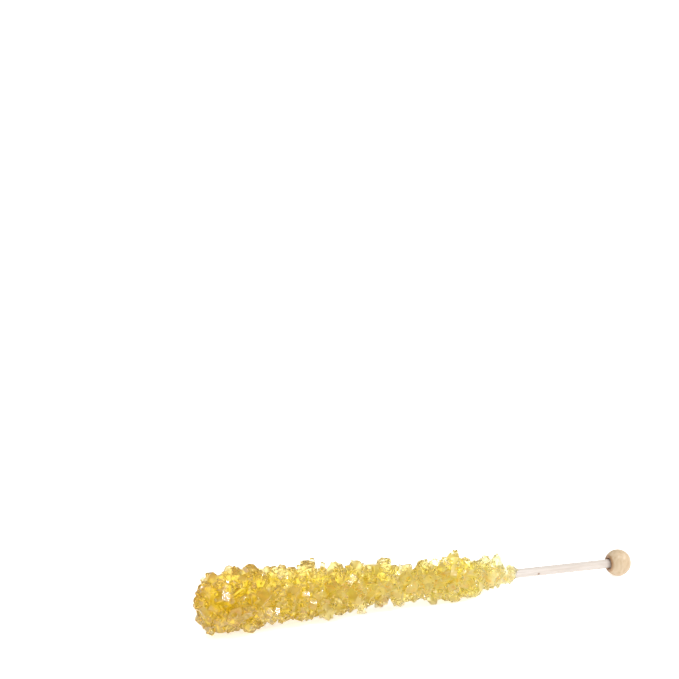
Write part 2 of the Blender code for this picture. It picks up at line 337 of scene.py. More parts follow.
# Colours from the cloudiest crystal to the clearest, and painted shade from pale on the surface
# to deep gold in the crevices, whose last stop is the brown of a few slim crystals
TINT_COLOURS = ((0.0, (1.0, 0.985, 0.94)), (0.6, (0.99, 0.97, 0.90)), (1.0, (0.985, 0.95, 0.82)))
DEPTH_SHADE_AND_BROWN_COLOURS = (
    (0.0, (1.0, 1.0, 1.0)),
    (0.2, (0.93, 0.87, 0.73)),
    (0.7, (0.80, 0.68, 0.43)),
    (1.0, (0.72, 0.45, 0.25)),
)


def sugar_material():
    """Clear golden crystal: smooth shiny faces round a slightly cloudy inside."""
    material, tree, shader = new_material("golden_crystal")
    own = add_node(tree, "ShaderNodeAttribute", attribute_name="own_place").outputs["Vector"]
    tint = add_node(tree, "ShaderNodeAttribute", attribute_name="tint").outputs["Fac"]
    depth = add_node(tree, "ShaderNodeAttribute", attribute_name="depth").outputs["Fac"]
    by_crystal = add_ramp(tree, tint, TINT_COLOURS)
    # Painted shade: crystals that sit deep, most of all near the thick end, are darkened to deep gold
    shade_by_depth = add_ramp(tree, depth, DEPTH_SHADE_AND_BROWN_COLOURS)
    both = add_node(tree, "ShaderNodeVectorMath", {0: by_crystal, 1: shade_by_depth}, operation="MULTIPLY")
    tree.links.new(both.outputs["Vector"], shader.inputs["Base Color"])
    tree.links.new(add_range(tree, tint, 0.0, 1.0, CLOUDIEST, CLEAREST), shader.inputs["Roughness"])
    steps = add_noise(tree, own, GROWTH_STEPS)
    normal = add_bump(tree, steps, STEP_STRENGTH, STEP_HEIGHT)
    tree.links.new(normal, shader.inputs["Normal"])
    tree.links.new(normal, shader.inputs["Coat Normal"])
    shader.inputs["IOR"].default_value = SUGAR_INDEX
    shader.inputs["Transmission Weight"].default_value = 1.0
    shader.inputs["Coat Weight"].default_value = COAT
    shader.inputs["Coat Roughness"].default_value = COAT_ROUGHNESS
    absorb = add_node(tree, "ShaderNodeVolumeAbsorption", values={
        "Color": DYE, "Density": DYE_DENSITY})
    tree.links.new(absorb.outputs["Volume"], tree.nodes["Material Output"].inputs["Volume"])
    return material


golden_crystal = sugar_material()
show_material(golden_crystal)

# %% [markdown]
# ## Seed sugar
#
# Before the crystals grow, the wet stick is rolled in fine sugar. That crust is a mass of tiny
# grains, too cloudy to see through, so it needs no transmission: a rough, pale material whose
# noise goes from warm gold in the gaps to nearly white on the grains is what shows through the
# clear crystals.

# %% The seed sugar
SEED_GRAINS = (450.0, 450.0, 450.0)
SEED_COLOURS = ((0.32, (0.93, 0.64, 0.18)), (0.5, (1.0, 0.88, 0.52)), (0.68, (1.0, 0.96, 0.76)))
SEED_HEIGHT = 0.3 * MM


def seed_material():
    """The crust of fine seed sugar round the stick: pale, and too cloudy to see through."""
    material, tree, shader = new_material("seed_sugar")
    place = add_node(tree, "ShaderNodeTexCoord").outputs["Object"]
    grains = add_noise(tree, place, SEED_GRAINS, detail=4.0, roughness=0.65)
    tree.links.new(add_ramp(tree, grains, SEED_COLOURS), shader.inputs["Base Color"])
    tree.links.new(add_bump(tree, grains, 0.5, SEED_HEIGHT), shader.inputs["Normal"])
    shader.inputs["Roughness"].default_value = 1.0
    return material


seed_sugar = seed_material()
show_material(seed_sugar)

# %% [markdown]
# ## How the candy has grown
#
# The candy is a lump whose girth follows one rule: a taper from the thick free end, a swelling
# near the thin end, and two rounded ends. It has grown a little more upwards than down. Big
# crystals sit at the free end and small ones at the thin end. These are the rules that the
# packed lump was grown by, so the crystals land where its own are.


# %% The candy's outline
THICK_RADIUS = 12.2 * MM
TAPER = 0.066
SWELLING_STATION = 96 * MM
SWELLING_HEIGHT = 2.5 * MM
SWELLING_SPREAD = 8 * MM
BLUNT_END = 12 * MM
BLUNT_CLOSING = 0.96
THIN_END = 13 * MM
THIN_CLOSING = 0.93
RISE = 1.6 * MM
RISE_CLOCK = math.radians(20)
BIG_CRYSTAL = 7.4 * MM
SMALL_CRYSTAL = 3.6 * MM
CORE_DEPTH = 0.62


def girth(station):
    """The candy's mean outer radius at a station."""
    radius = THICK_RADIUS - TAPER * station
    radius += SWELLING_HEIGHT * math.exp(-((station - SWELLING_STATION) / SWELLING_SPREAD) ** 2)
    from_free_end = max(0.0, 1.0 - station / BLUNT_END) * BLUNT_CLOSING
    from_thin_end = max(0.0, 1.0 - (CANDY_LENGTH - station) / THIN_END) * THIN_CLOSING
    return radius * math.sqrt(1.0 - from_free_end ** 2) * math.sqrt(1.0 - from_thin_end ** 2)


def rise(station):
    """How far the candy's own middle lies above the stick's axis."""
    return RISE * (1.0 - station / CANDY_LENGTH) ** 0.5


def crystal_length(station):
    """The mean length of the big crystals at a station."""
    share = station / CANDY_LENGTH
    return BIG_CRYSTAL + (SMALL_CRYSTAL - BIG_CRYSTAL) * share


for station in (2 * MM, 20 * MM, 60 * MM, 95 * MM, 115 * MM):
    print(f"girth at {station / MM:.0f} mm: {girth(station) / MM:.1f} mm")

# %% [markdown]
# ## One crystal
#
# A sugar crystal is an oblique block: a box that leans by 13 degrees, with a roof of two
# slanting faces on its growing end and a corner or two missing. A cube is scaled and sheared
# into that block, and planes slice the roof and the corners off. Each slice of a convex shape
# leaves one ring of open edges, which one flat face closes.

# %% Cutting a crystal
OBLIQUENESS = math.tan(math.radians(13))


def slice_off(block, point, normal):
    """Cut a closed convex shape with a plane and close the cut with one flat face."""
    cut = bmesh.ops.bisect_plane(
        block, geom=block.verts[:] + block.edges[:] + block.faces[:],
        plane_co=point, plane_no=normal, clear_outer=True)
    edges = [item for item in cut["geom_cut"] if isinstance(item, bmesh.types.BMEdge)]
    if edges:
        bmesh.ops.contextual_create(block, geom=edges)


def extent(block, direction):
    """How far a shape reaches from its origin along a direction."""
    return max(vert.co.dot(direction) for vert in block.verts)


def lean_block(width, depth, length):
    """An oblique block about its own origin, which grows along +Z."""
    block = bmesh.new()
    bmesh.ops.create_cube(block, size=1.0)
    bmesh.ops.scale(block, vec=(width, depth, length), verts=block.verts)
    lean = Matrix.Identity(4)
    lean[0][2] = OBLIQUENESS
    bmesh.ops.transform(block, matrix=lean, verts=block.verts)
    return block


def grow_crystal(rng, length):
    """One big crystal, with a roof and a corner or two missing."""
    width = length * rng.uniform(0.72, 1.0)
    block = lean_block(width, length * rng.uniform(0.5, 0.78), length)
    ridge = length * rng.uniform(0.30, 0.45)
    for side in (-1, 1):
        slope = math.radians(rng.uniform(28, 58))
        normal = Vector((side * math.sin(slope), 0.0, math.cos(slope)))
        slice_off(block, Vector((OBLIQUENESS * ridge, 0.0, ridge)), normal)
    for _ in range(rng.randint(1, 2)):
        normal = Vector((rng.uniform(-1, 1), rng.uniform(-1, 1), rng.uniform(-0.1, 0.8)))
        normal.normalize()
        slice_off(block, normal * extent(block, normal) * rng.uniform(0.76, 0.92), normal)
    return block


sample = grow_crystal(random.Random(0), BIG_CRYSTAL)
print("a sample crystal has", len(sample.faces), "faces and", len(sample.edges), "edges")

# %% [markdown]
# ## Softened edges
#
# Sugar is never knife sharp: air and handling wear its edges, and the worn edges are what
# sparkles. `bevel` makes them, and a convex hull round the result keeps the crystal convex and
# closed even where two cuts met in a very short edge. The bevels stay flat faces: at this size
# each is a narrow bright line.

# %% Wearing the edges
EDGE_WIDTH = 0.05
SHORTEST_EDGE = 0.01 * MM


def soften_edges(block, width):
    """Bevel a crystal's edges and keep it convex."""
    bmesh.ops.bevel(
        block, geom=block.edges[:], offset=width, offset_type="OFFSET", segments=1,
        profile=0.5, affect="EDGES", clamp_overlap=True, material=-1)
    bmesh.ops.remove_doubles(block, verts=block.verts, dist=SHORTEST_EDGE)
    hull = bmesh.ops.convex_hull(block, input=block.verts)
    skin = set(hull["geom"])
    inner = [face for face in block.faces if face not in skin]
    bmesh.ops.delete(block, geom=inner, context="FACES_ONLY")
    loose = [vert for vert in block.verts if not vert.link_faces]
    bmesh.ops.delete(block, geom=loose, context="VERTS")
    bmesh.ops.recalc_face_normals(block, faces=block.faces)


soften_edges(sample, EDGE_WIDTH * BIG_CRYSTAL)
print("with worn edges it has", len(sample.faces), "faces")
sample.free()

# %% [markdown]
# ## A heap of crystals
#
# The crystals are gathered in one mesh. Three attributes go with each: `own_place`, where a
# point lies in its own crystal, which lines the growth steps up with the crystal; `tint`, which
# makes it a little clearer or cloudier than the next; and `depth`, how deep it sits and how near
# the thick end, which darkens it to a deeper gold: painted shade in the crevices.

# %% Gathering crystals
DEEP = 5 * MM
SURFACE_DEPTH = 0.3
DEEPEST_SHADE = 0.8
from_table = on_table.inverted()


# The depth paints shade into the sugar's colour, deepest in the crevices and near the thick end.
def deepness(block):
    """How deep a placed crystal sits in the candy, from 0 to 1, less towards the thin end."""
    middle = from_table @ (sum((vert.co for vert in block.verts), Vector()) / len(block.verts))
    station = min(max(middle.x, 0.0), CANDY_LENGTH)
    below = girth(station) - math.hypot(middle.y, middle.z - rise(station))
    depth = min(max(SURFACE_DEPTH + below / DEEP, 0.0), 1.0)
    return DEEPEST_SHADE * depth * (1.0 - station / CANDY_LENGTH)


class Heap:
    """Crystals gathered into one mesh."""

    def __init__(self):
        self.shape = bmesh.new()
        self.own_place = self.shape.loops.layers.float_vector.new("own_place")
        self.tint = self.shape.faces.layers.float.new("tint")
        self.depth = self.shape.faces.layers.float.new("depth")
        self.count = 0

    def pour(self, block, matrix, tint, depth=None):
        """Add a crystal that a matrix has already placed."""
        depth = deepness(block) if depth is None else depth
        start = len(self.shape.faces)
        mesh = bpy.data.meshes.new("crystal")
        block.to_mesh(mesh)
        block.free()
        self.shape.from_mesh(mesh)
        bpy.data.meshes.remove(mesh)
        self.shape.faces.ensure_lookup_table()
        back = matrix.inverted()
        for index in range(start, len(self.shape.faces)):
            face = self.shape.faces[index]
            face[self.tint] = tint
            face[self.depth] = depth
            for loop in face.loops:
                loop[self.own_place] = back @ loop.vert.co
        self.count += 1


heap = Heap()
print("depth goes from 0 at the thin end to", DEEPEST_SHADE, "deep in the free end")

# %% [markdown]
# ## Setting a big crystal
#
# A big crystal has grown away from the stick, leaning a little this way or that. It is cut at
# the origin, turned to point outwards, and moved until its end reaches as far as it should. The
# crystals that stand out get a sharper peak. A crystal is lifted if it would touch the table,
# and a foot sinks in and is cut flat there, so that the candy rests on real faces.


# %% Placing a crystal
TIP_FLAT = 0.35 * MM
CLEAR_OF_TABLE = 0.2 * MM

FOOT_SWAY = 0.1
PEAK_SWAY = 0.14
END_SWAY = 0.2
SIDE_SWAY = 0.4

tints = random.Random(1)
peaks = random.Random(5)


def sharpen(block, direction):
    """Slope a crystal's end on both sides, so that it peaks away from the stick."""
    for side in (-1, 1):
        slope = Vector((side * peaks.uniform(0.5, 1.3), peaks.uniform(-0.4, 0.4), 0.0))
        normal = (direction + slope).normalized()
        slice_off(block, normal * extent(block, normal) * peaks.uniform(0.7, 0.88), normal)


def add_big(rng, root, direction, reach, length, sway, is_foot=False, is_peak=False):
    """One crystal grown away from a point on the stick, worn and added to the heap."""
    block = grow_crystal(rng, length)
    spin = Matrix.Rotation(rng.uniform(0.0, math.tau), 4, "Z")
    wander = Vector((rng.gauss(0, 1), rng.gauss(0, 1), rng.gauss(0, 1))) * sway
    turn = (direction + wander).to_track_quat("Z", "Y").to_matrix().to_4x4() @ spin
    bmesh.ops.transform(block, matrix=turn, verts=block.verts)
    place = root + direction * (reach - extent(block, direction))
    if is_peak:
        sharpen(block, direction)
    room = min(height(vert.co + place) for vert in block.verts)
    place.z += -TIP_FLAT - room if is_foot else max(0.0, CLEAR_OF_TABLE - room)
    move = on_table @ Matrix.Translation(place)
    bmesh.ops.transform(block, matrix=move, verts=block.verts)
    if is_foot:
        slice_off(block, Vector((0.0, 0.0, 0.0)), Vector((0.0, 0.0, -1.0)))
    bmesh.ops.recalc_face_normals(block, faces=block.faces)
    soften_edges(block, EDGE_WIDTH * length)
    heap.pour(block, move @ turn, tints.random())


print("crystals stay", CLEAR_OF_TABLE / MM, "mm clear of the table, and feet sink", TIP_FLAT / MM, "mm")

# %% [markdown]
# ## The crystals listed one by one
#
# First come the three feet that the candy rests on, then the crystals that make its outline
# uneven. They could all be scattered at random, but then the outline would be anyone's: the
# tables below are what makes it this one. A seeded generator gives the same crystals each time,
# in the same order as in the imported lump.

# %% The feet and the crystals that stand out
SEED = 36

# The crystals that it rests on, as (station in mm, clock angle in degrees, length in mm)
FEET = (
    (10.0, -146, 10.4),
    (29.5, -150, 9.4),
    (20.0, 143, 9.4),
)
# Crystals that stand out, as (station in mm, clock angle in degrees, reach and length in mm)
STANDING_OUT = (
    (3.8, -148, 8.2, 7.0),
    (14.0, 24, 13.0, 8.4),
    (21.0, 16, 13.0, 8.0),
    (30.0, 24, 11.3, 9.0),
    (41.0, 18, 12.2, 8.0),
    (50.0, 24, 10.8, 6.6),
    (58.0, 16, 10.5, 6.0),
    (69.0, 22, 10.7, 7.0),
    (83.0, 16, 8.6, 5.2),
    (88.5, 30, 8.6, 5.0),
    (95.0, 20, 10.0, 6.4),
    (107.5, 26, 7.4, 4.4),
    (112.0, 14, 7.4, 4.4),
    (45.0, -158, 9.0, 7.0),
    (59.0, -162, 7.0, 5.6),
    (73.5, -155, 6.9, 5.2),
    (85.5, -162, 8.2, 5.6),
    (93.0, -152, 7.8, 5.0),
    (102.0, -160, 7.2, 4.8),
    (16.0, -80, 11.6, 9.0),
    (33.0, -66, 11.0, 8.4),
    (54.0, -84, 9.6, 7.4),
    (27.0, 96, 11.2, 8.6),
    (48.0, 108, 10.0, 7.6),
    (93.0, 84, 9.4, 6.0),
)


def grow_named(rng):
    """The feet and the crystals that stand out."""
    for station, clock, length in FEET:
        root = Vector((station * MM, 0.0, 0.0))
        add_big(rng, root, outward(math.radians(clock)), 0.0, length * MM, FOOT_SWAY, is_foot=True)
    for station, clock, reach, length in STANDING_OUT:
        root = Vector((station * MM, 0.0, 0.0))
        direction = outward(math.radians(clock))
        add_big(rng, root, direction, reach * MM, length * MM, PEAK_SWAY, is_peak=True)


growth = random.Random(SEED)
grow_named(growth)
print(heap.count, "crystals set by hand")

# %% [markdown]
# ## The rest of the big crystals
#
# The free end is round, so its crystals sit in rings over a dome. Along the side, ring follows
# ring, each with as many crystals as its girth has room for. They get smaller towards the thin
# end.

# %% The free end and the side
CROWDING = 0.86
END_FILLING = 0.8
SIDE_FILLING = 0.72


def grow_free_end(rng):
    """Rings of crystals over the rounded free end."""
    middle = Vector((BLUNT_END, 0.0, rise(BLUNT_END)))
    rings = 3
    for ring in range(rings):
        polar = math.radians(90) * ring / rings
        aside = math.sin(polar)
        count = max(1, round(math.tau * aside * BLUNT_END * END_FILLING / (BIG_CRYSTAL * CROWDING)))
        first = rng.uniform(0.0, math.tau)
        for number in range(count):
            clock = first + math.tau * (number + rng.uniform(-0.25, 0.25)) / count
            direction = Vector((-math.cos(polar), 0.0, 0.0)) + outward(clock) * aside
            reach = math.hypot(BLUNT_END * math.cos(polar), girth(BLUNT_END) * aside)
            if ring:
                reach *= rng.uniform(0.92, 1.0)
            add_big(rng, middle, direction, reach, BIG_CRYSTAL * rng.uniform(0.8, 1.2), END_SWAY)


def grow_side(rng):
    """Ring after ring of crystals along the candy, smaller towards the thin end."""
    last = CANDY_LENGTH - SMALL_CRYSTAL * 0.4
    station = BLUNT_END
    while station < last:
        spacing = crystal_length(station) * CROWDING
        count = max(4, round(math.tau * girth(station) * SIDE_FILLING / spacing))
        first = rng.uniform(0.0, math.tau)
        for number in range(count):
            clock = first + math.tau * (number + rng.uniform(-0.3, 0.3)) / count
            at = min(station + spacing * rng.uniform(-0.4, 0.4), last)
            length = crystal_length(at) * rng.uniform(0.78, 1.25)
            reach = girth(at) * rng.uniform(0.82, 0.98) + rise(at) * math.cos(clock - RISE_CLOCK)
            add_big(rng, Vector((at, 0.0, 0.0)), outward(clock), reach, length, SIDE_SWAY)
        station += spacing


grow_free_end(growth)
grow_side(growth)
for corner, pick in (("low", min), ("high", max)):
    print(heap.count, "big crystals,", corner, "corner in mm:",
          [round(pick(vert.co[axis] for vert in heap.shape.verts) / MM, 1) for axis in range(3)])
packed = [[round(side / MM, 1) for side in corner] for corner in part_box("rock_candy")]
print("packed candy in mm:", packed)

# %% [markdown]
# ## Turned shapes
#
# Four things here are round the stick: the sugar's inner lump, the seed layer, the dowel and the
# ball. Each is a profile spun once round the axis, which begins and ends on the axis, so the
# shape is closed. Sugar is never quite round, so a noise makes the two sugar shapes uneven.

# %% Spinning a profile
BUMPS_PER_METRE = 260.0
SAME_POINT = 0.001 * MM


def spin_profile(points, steps):
    """A closed turned shape round X, from (station, radius) points that begin and end on the axis."""
    shape = bmesh.new()
    verts = [shape.verts.new((station, 0.0, radius)) for station, radius in points]
    edges = [shape.edges.new(pair) for pair in zip(verts, verts[1:])]
    bmesh.ops.spin(shape, geom=verts + edges, cent=(0.0, 0.0, 0.0), axis=(1.0, 0.0, 0.0),
                   angle=math.tau, steps=steps, use_merge=True)
    bmesh.ops.remove_doubles(shape, verts=shape.verts, dist=SAME_POINT)
    bmesh.ops.recalc_face_normals(shape, faces=shape.faces)
    return shape


def turn_lump(start, end, radius_at, unevenness, rows, steps):
    """An uneven lump round the stick whose radius follows a rule."""
    points = [(start, 0.0)]
    for number in range(1, rows):
        station = start + (end - start) * number / rows
        points.append((station, radius_at(station)))
    points.append((end, 0.0))
    shape = spin_profile(points, steps)
    for vert in shape.verts:
        aside = Vector((0.0, vert.co.y, vert.co.z))
        vert.co += aside.normalized() * noise.noise(vert.co * BUMPS_PER_METRE) * unevenness
    return shape


print("turned sugar has", round(BUMPS_PER_METRE * CANDY_LENGTH), "bumps along it")

# %% [markdown]
# ## The fused lump
#
# Under the crystals the sugar has grown together into one lump. Its radius follows the outline
# rule, a little smaller, and it is never thinner than the seed layer on the stick. Without it,
# light would find gaps between the crystals' roots.

# %% Turning the lump
CRUST = 1.5 * MM
THINNEST_CRUST = 0.3 * MM
OVER_CRUST = 0.3 * MM
LUMP_START = 4.2 * MM
LUMP_END = CANDY_LENGTH - 3 * MM
LUMP_UNEVENNESS = 0.4 * MM
LUMP_TINT = 0.5


def crust_radius(station):
    """The seed layer's radius, part of the way out to the lump's."""
    return STICK_RADIUS + max(CRUST * min(1.0, (CANDY_LENGTH - station) / THIN_END), THINNEST_CRUST)


def lump_radius(station):
    """The lump's radius, under the big crystals."""
    under_crystals = girth(station) - crystal_length(station) * CORE_DEPTH
    return max(under_crystals, crust_radius(station) + OVER_CRUST)


lump = turn_lump(LUMP_START, LUMP_END, lump_radius, LUMP_UNEVENNESS, rows=30, steps=20)
for vert in lump.verts:
    vert.co.z += rise(vert.co.x)
bmesh.ops.transform(lump, matrix=on_table, verts=lump.verts)
print("the lump has", len(lump.faces), "faces")
heap.pour(lump, on_table, LUMP_TINT)

# %% [markdown]
# ## Slim crystals
#
# Between the big crystals sit hundreds of slim ones. Each is an oblique bar whose end slopes two
# ways. As there are so many, each is kept to a few dozen faces. One that would stand outside the
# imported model's box is left out.

# %% A slim crystal
BOX_MARGIN = 0.1 * MM


def grow_bar(rng, length):
    """A slim crystal with a slanting end."""
    bar = lean_block(length * rng.uniform(0.4, 0.75), length * rng.uniform(0.3, 0.55), length)
    for side in (-1, 1):
        slope = math.radians(rng.uniform(25, 60))
        normal = Vector((side * math.sin(slope), rng.uniform(-0.2, 0.2), math.cos(slope)))
        slice_off(bar, Vector((0.0, 0.0, length * rng.uniform(0.28, 0.42))), normal)
    return bar


def is_inside(shape):
    """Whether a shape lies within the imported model's box."""
    return all(cad_box[0][axis] + BOX_MARGIN < vert.co[axis] < cad_box[1][axis] - BOX_MARGIN
               for vert in shape.verts for axis in range(3))


sample = grow_bar(random.Random(0), SMALL_CRYSTAL)
soften_edges(sample, EDGE_WIDTH * SMALL_CRYSTAL)
print("a sample slim crystal has", len(sample.faces), "faces")
sample.free()

# %% [markdown]
# ## Planting them
#
# A ray is sent in towards the stick from a random place outside, and where it meets sugar a slim
# crystal is planted, partly sunk. Deep places always get one, and the tops of the big crystals
# only now and then, so their clear faces still show. Towards the thin end they are smaller and
# closer together.

# %% Planting the slim crystals
RAY_START = 20 * MM
SHALLOW = 0.2
OFTEN_ON_TOP = 0.45
THIN_END_SHRINK = 0.4
BAR_SWAY = 0.5
SINK = (-0.25, 0.12)
# Rounds of slim crystals, as (seed, count, shortest and longest in mm)
ROUNDS = (
    (2, 640, 2.8, 5.0),
    (3, 480, 1.9, 3.0),
)


def plant_bar(surface, rng, station, clock, length, always=False, depth=None):
    """Plant a slim crystal where a ray towards the stick meets the sugar, and say if it was done."""
    axis_point = on_table @ Vector((station, 0.0, rise(station)))
    away = on_table.to_3x3() @ outward(clock)
    hit, normal, _, distance = surface.ray_cast(axis_point + away * RAY_START, -away, RAY_START)
    if hit is None:
        return False
    is_deep = girth(station) - (RAY_START - distance) > SHALLOW * crystal_length(station)
    if not (is_deep or always or rng.random() < OFTEN_ON_TOP * station / CANDY_LENGTH):
        return False
    bar = grow_bar(rng, length)
    soften_edges(bar, EDGE_WIDTH * length)
    wander = Vector((rng.gauss(0, 1), rng.gauss(0, 1), rng.gauss(0, 1))) * BAR_SWAY
    turn = (normal + away * 0.5 + wander).to_track_quat("Z", "Y").to_matrix().to_4x4()
    spin = Matrix.Rotation(rng.uniform(0.0, math.tau), 4, "Z")
    matrix = Matrix.Translation(hit + normal * length * rng.uniform(*SINK)) @ turn @ spin
    bmesh.ops.transform(bar, matrix=matrix, verts=bar.verts)
    fits = is_inside(bar)
    if fits:
        heap.pour(bar, matrix, rng.random(), depth)
    else:
        bar.free()
    return fits


def plant_bars(rng, count, shortest, longest):
    """Plant slim crystals over the sugar in the heap, smaller and closer towards the thin end."""
    surface = BVHTree.FromBMesh(heap.shape)
    planted = 0
    while planted < count:
        station = rng.uniform(0.2 * MM, CANDY_LENGTH - 1.0 * MM)
        size = 1.0 - THIN_END_SHRINK * station / CANDY_LENGTH
        smallest = 1.0 - THIN_END_SHRINK
        if rng.random() < girth(station) / THICK_RADIUS * (smallest / size) ** 2:
            length = rng.uniform(shortest, longest) * size
            planted += plant_bar(surface, rng, station, rng.uniform(0.0, math.tau), length)


for seed, count, shortest, longest in ROUNDS:
    plant_bars(random.Random(seed), count, shortest * MM, longest * MM)
print(heap.count, "crystals with the slim ones")

# %% [markdown]
# ## Tufts, and a few brown crystals
#
# Real peaks are not single blocks: each tall crystal carries a tuft of slim ones, which breaks
# up its flat top. They are planted in the same way as the last ones, round each crystal that
# stands out. A few slim crystals low on the side are brown. Their depth attribute is given its
# largest value, which the sugar's colours keep for them.

# %% Tufts on the tall crystals, and a few brown crystals
TUFT = 6
TUFT_SPREAD = 30
BROWN_DEPTH = 1.0
# Slim crystals coloured brown, as (station in mm, clock angle in degrees, length in mm)
BROWN_BARS = (
    (61.0, -152, 2.6),
    (66.0, -158, 2.8),
    (67.5, -148, 2.0),
    (96.0, -150, 2.0),
    (40.0, -140, 1.8),
)

surface = BVHTree.FromBMesh(heap.shape)
late_growth = random.Random(6)
planted = 0
for station, clock, _, length in STANDING_OUT:
    for _ in range(TUFT):
        at = (station + length * late_growth.uniform(-0.4, 0.4)) * MM
        around = math.radians(clock + late_growth.uniform(-TUFT_SPREAD, TUFT_SPREAD))
        small = length * late_growth.uniform(0.3, 0.5) * MM
        planted += plant_bar(surface, late_growth, at, around, small, always=True)
print(planted, "crystals in tufts")
planted = 0
for station, clock, length in BROWN_BARS:
    around = math.radians(clock)
    planted += plant_bar(surface, late_growth, station * MM, around, length * MM,
                         always=True, depth=BROWN_DEPTH)
print(planted, "brown crystals")
print(heap.count, "crystals and", len(heap.shape.faces), "faces before they are fused")

# %% [markdown]
# ## Fusing the crystals
#
# Light bends once on its way into sugar, not at every crystal that it crosses inside, so the
# overlapping crystals are fused into one closed skin. Voxel remeshing would do it too, but it
# rounds every edge off. A Boolean union that looks at a mesh's own overlaps keeps the faces flat
# and sharp, and their attributes too. It wants a second mesh as well, and a speck deep in the
# lump will do.
#
# A union also leaves a few islands: pockets closed in between crystals, and slivers too small to
# see. They would be stray faces in the finished mesh, so the cell below has a helper that keeps
# only the largest island.


# %% Making an object, and taking out stray islands
def new_object(name, shape):
    """An object at the origin from a finished bmesh."""
    mesh = bpy.data.meshes.new(name)
    shape.to_mesh(mesh)
    shape.free()
    thing = bpy.data.objects.new(name, mesh)
    scene.collection.objects.link(thing)
    return thing


def keep_largest_island(skin):
    """Delete every part of a mesh that is not joined to its largest part, and count them."""
    seen = set()
    islands = []
    for start in skin.verts:
        if start in seen:
            continue
        seen.add(start)
        island = [start]
        for vert in island:
            for edge in vert.link_edges:
                other = edge.other_vert(vert)
                if other not in seen:
                    seen.add(other)
                    island.append(other)
        islands.append(island)
    islands.sort(key=len)
    stray = [vert for island in islands[:-1] for vert in island]
    bmesh.ops.delete(skin, geom=stray, context="VERTS")
    return len(islands) - 1


print("crystals to fuse:", heap.count)

# %% [markdown]
# ## The union
#
# The heap becomes an object with a Boolean modifier, the modifier is evaluated, and the result
# is taken back as a bmesh, so nothing is left live. Every edge of a closed skin has two faces,
# which the count of open edges checks.

# %% Fusing the crystals
SPECK = 0.1 * MM
SPECK_HEIGHT = 3 * MM


def fuse(shape):
    """One closed skin from a mesh of closed crystals that overlap."""
    crowd = new_object("crowd", shape)
    speck_shape = bmesh.new()
    bmesh.ops.create_cube(speck_shape, size=SPECK)
    inside = on_table @ Vector((BLUNT_END, 0.0, SPECK_HEIGHT))
    bmesh.ops.translate(speck_shape, vec=inside, verts=speck_shape.verts)
    speck = new_object("speck", speck_shape)
    union = crowd.modifiers.new("union", "BOOLEAN")
    union.operation = "UNION"
    union.solver = "EXACT"
    union.use_self = True
    union.object = speck
    evaluated = crowd.evaluated_get(bpy.context.evaluated_depsgraph_get())
    skin = bmesh.new()
    skin.from_mesh(evaluated.to_mesh())
    evaluated.to_mesh_clear()
    for helper in (crowd, speck):
        bpy.data.objects.remove(helper)
    print("stray islands taken out:", keep_largest_island(skin))
    open_edges = sum(1 for edge in skin.edges if len(edge.link_faces) != 2)
    print("fused skin:", len(skin.faces), "faces,", open_edges, "open edges,",
          round(skin.calc_volume() / MM ** 3), "cubic mm")
    return skin


sugar_skin = fuse(heap.shape)

# %% [markdown]
# ## The candy and its seed layer
#
# Each finished piece keeps its place in its mesh, rides on the one body, takes its finish, and
# hides the packed solid that it stands for. The candy is two pieces: the fused crystals, and
# inside them the seed layer. The seed layer is opaque and pale: a bare stick seen through the
# sugar would be a dull dark bar, and on real candy a grainy crust hides it. It runs on as a thin
# frosty collar where the crystals end.


# %% The candy and its seed layer
def finish_piece(name, shape, material, node):
    """A finished piece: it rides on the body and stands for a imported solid."""
    piece = new_object(name, shape)
    piece.data.materials.clear()
    piece.data.materials.append(material)
    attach(piece, "root")
    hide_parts(node)
    print(f"{name}: {sum(len(face.vertices) - 2 for face in piece.data.polygons)} triangles")
    return piece


CRUST_START = STICK_START - 1 * MM
COLLAR_END = CANDY_LENGTH - 0.8 * MM
CRUST_UNEVENNESS = 0.2 * MM

finish_piece("sugar_crystals", sugar_skin, golden_crystal, "rock_candy")

crust = turn_lump(CRUST_START, COLLAR_END, crust_radius, CRUST_UNEVENNESS, rows=80, steps=24)
bmesh.ops.transform(crust, matrix=on_table, verts=crust.verts)
for face in crust.faces:
    face.smooth = True
finish_piece("seed_layer", crust, seed_sugar, "rock_candy")


# %% [markdown]
# ## Wood
#
# The stick is a birch dowel, very pale, with fine straight fibres along its length and one small
# dark fleck. The ball is a warmer wood, turned on a lathe and sanded, so it has a soft sheen. It
# is darker round the mouth of its hole: partly wood scorched by the drill, partly painted shade in
# the gap round the stick. Both take their grain from noise that is stretched along the fibres. It
# is made in space, not on the surface, so the grain runs through a cut end as it does in real wood.


# %% The woods
FLECK = on_table @ (Vector((127 * MM, 0.0, 0.0)) + outward(math.radians(-105)) * STICK_RADIUS)
FLECK_SIZE = 0.6 * MM
FIBRE_HEIGHT = 0.1 * MM
BIRCH_GRAIN = (60.0, FINEST_GRAIN, FINEST_GRAIN)
BEECH_GRAIN = (900.0, 900.0, 120.0)
BIRCH_COLOURS = (
    (0.3, (0.466, 0.405, 0.355)), (0.5, (0.504, 0.449, 0.404)), (0.75, (0.551, 0.502, 0.463)))
FLECK_COLOURS = ((0.0, (0.35, 0.24, 0.17)), (0.45, (0.5, 0.36, 0.26)), (1.0, (1.0, 1.0, 1.0)))
BORE_END = on_table @ Vector((BALL_STATION - BALL_RADIUS, 0.0, 0.0))
RIM_FROM = 2.5 * MM
RIM_TO = 3.6 * MM
BEECH_COLOURS = (
    (0.3, (0.404, 0.283, 0.162)), (0.5, (0.479, 0.361, 0.230)), (0.75, (0.545, 0.429, 0.294)))
# Round the hole's mouth: partly drill scorch, partly painted shade in the gap round the stick
RIM_SCORCH_AND_SHADE_COLOURS = ((0.0, (0.55, 0.36, 0.22)), (0.6, (0.75, 0.60, 0.48)), (1.0, (1.0, 1.0, 1.0)))


